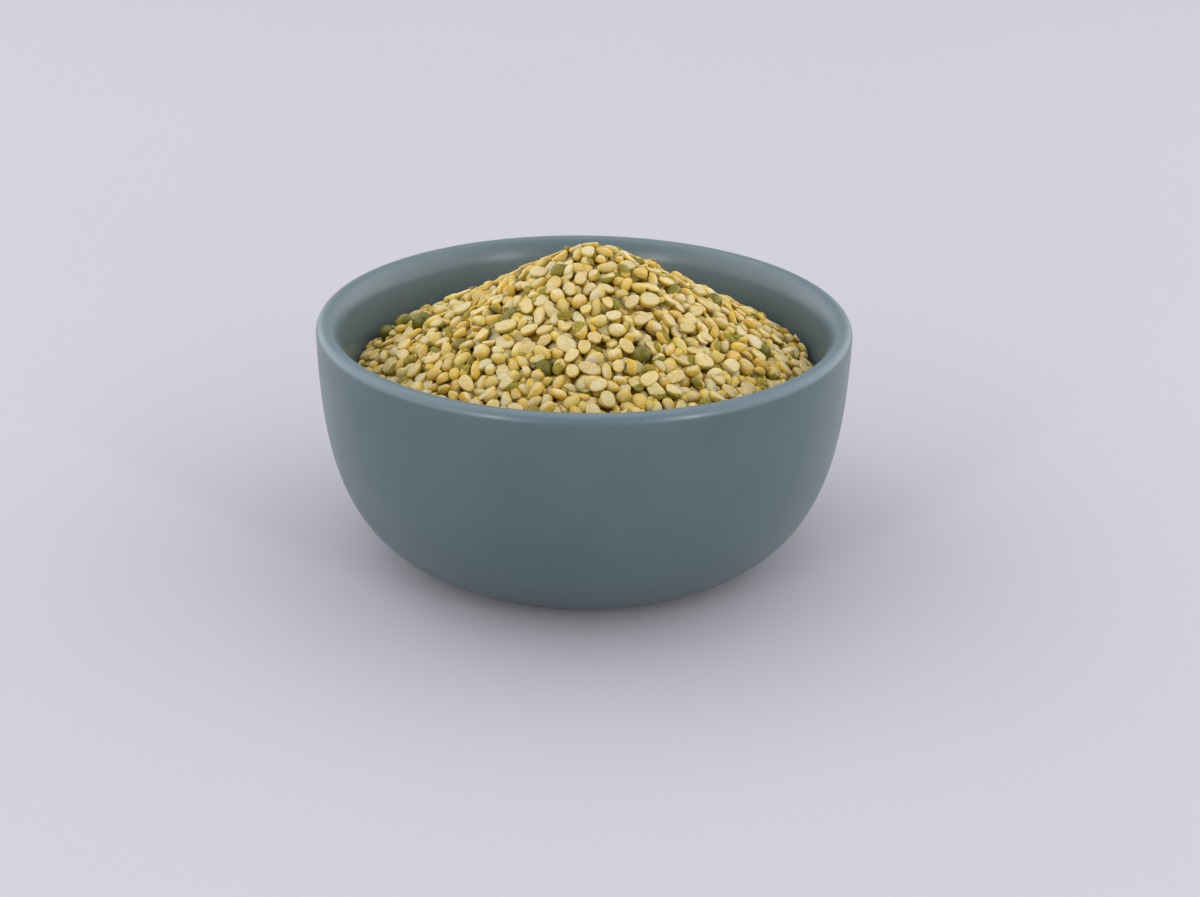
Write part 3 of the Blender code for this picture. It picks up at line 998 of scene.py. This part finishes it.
def build_grains():
    """One joined mesh of grains for each kind, in the order of KINDS."""
    laid = lay_grains()
    draw = np.random.default_rng(HEAP_SEED + 1)
    pale = split_material("pale_split", PALE_COLORS, False)
    yellow = split_material("yellow_split", YELLOW_COLORS, False)
    husked = split_material("husked_split", HUSKED_COLORS, True)
    pieces = (
        ("pale_splits", SPLIT_RINGS, shaped_split, pale),
        ("yellow_splits", SPLIT_RINGS, shaped_split, yellow),
        ("husked_splits", SPLIT_RINGS, shaped_split, husked),
        ("whole_beans", BEAN_RINGS, shaped_bean, bean_material()),
    )
    for kind, (name, rings, shape, material) in enumerate(pieces):
        grains = [grain for grain in laid if grain[0] == kind]
        mesh = grain_mesh(name, grains, rings, shape, draw)
        piece = add_object(name, mesh, material)


# Stage

def build_floor():
    n = Nodes("pale_table")
    place = n.place()
    cloud = n.noise(place, TABLE_CLOUD_SCALE, 2.0)
    tone = n.mix(cloud, linear(TABLE_COLORS[0]), linear(TABLE_COLORS[1]))
    n.plug(n.shader.inputs["Base Color"], tone)
    n.shader.inputs["Roughness"].default_value = TABLE_ROUGHNESS
    n.bump(n.noise(place, TABLE_GRAIN_SCALE, 2.0), TABLE_BUMP, TABLE_BUMP_DEPTH)
    mesh = bpy.data.meshes.new("table")
    half = TABLE_SIZE / 2.0
    turns = ((-1, -1), (1, -1), (1, 1), (-1, 1))
    corners = [(half * side, half * depth, TABLE_LEVEL) for side, depth in turns]
    mesh.from_pydata(corners, [], [(0, 1, 2, 3)])
    floor = add_object("table", mesh, n.material, body=None)


def add_light(name, place, aim, size, power, color):
    light = bpy.data.lights.new(name, "AREA")
    light.shape = "RECTANGLE"
    light.size = size[0]
    light.size_y = size[1]
    light.energy = power
    light.color = color
    item = bpy.data.objects.new(name, light)
    item.location = place
    ahead = Vector(aim) - Vector(place)
    item.rotation_euler = ahead.to_track_quat("-Z", "Y").to_euler()
    bpy.context.scene.collection.objects.link(item)


def room_light():
    """Soft pale room, brightest to the left and right and a little dimmer behind the camera."""
    world = bpy.data.worlds.new("soft_room")
    bpy.context.scene.world = world
    world.use_nodes = True
    tree = world.node_tree
    back = tree.nodes["Background"]
    back.inputs["Color"].default_value = ROOM_COLOR
    toward = tree.nodes.new("ShaderNodeSeparateXYZ")
    tree.links.new(tree.nodes.new("ShaderNodeTexCoord").outputs["Generated"], toward.inputs[0])
    across = tree.nodes.new("ShaderNodeMath")
    across.operation = "ABSOLUTE"
    tree.links.new(toward.outputs[0], across.inputs[0])
    strength = tree.nodes.new("ShaderNodeMath")
    strength.operation = "MULTIPLY"
    fades = ((across.outputs[0], ROOM_ACROSS), (toward.outputs[1], ROOM_AHEAD))
    for place, (source, (low, high, start, end)) in enumerate(fades):
        fade = tree.nodes.new("ShaderNodeMapRange")
        fade.interpolation_type = "SMOOTHSTEP"
        tree.links.new(source, fade.inputs["Value"])
        fade.inputs["From Min"].default_value = low
        fade.inputs["From Max"].default_value = high
        fade.inputs["To Min"].default_value = start
        fade.inputs["To Max"].default_value = end
        tree.links.new(fade.outputs["Result"], strength.inputs[place])
    tree.links.new(strength.outputs[0], back.inputs["Strength"])


def build_lights():
    room_light()
    add_light(
        "overhead", OVERHEAD_PLACE, OVERHEAD_AIM, OVERHEAD_SIZE, OVERHEAD_POWER, OVERHEAD_COLOR
    )
    for turn in STRIP_TURNS:
        angle = math.radians(turn)
        place = (STRIP_REACH * math.sin(angle), -STRIP_REACH * math.cos(angle), STRIP_LEVEL)
        add_light("strip", place, STRIP_AIM, STRIP_SIZE, STRIP_POWER, STRIP_COLOR)


def build_camera():
    camera = bpy.data.cameras.new("camera")
    camera.lens = CAMERA_LENS
    camera.sensor_width = CAMERA_SENSOR
    item = bpy.data.objects.new("camera", camera)
    item.location = CAMERA_PLACE
    pitch = Euler((math.pi / 2.0 - CAMERA_PITCH, 0.0, 0.0)).to_matrix()
    roll = Matrix.Rotation(CAMERA_ROLL, 3, "Z")
    item.rotation_euler = (pitch @ roll).to_euler()
    bpy.context.scene.collection.objects.link(item)
    bpy.context.scene.camera = item


bpy.context.scene.view_settings.view_transform = "Standard"
build_bowl()
build_core()
build_grains()
build_floor()
build_lights()
build_camera()
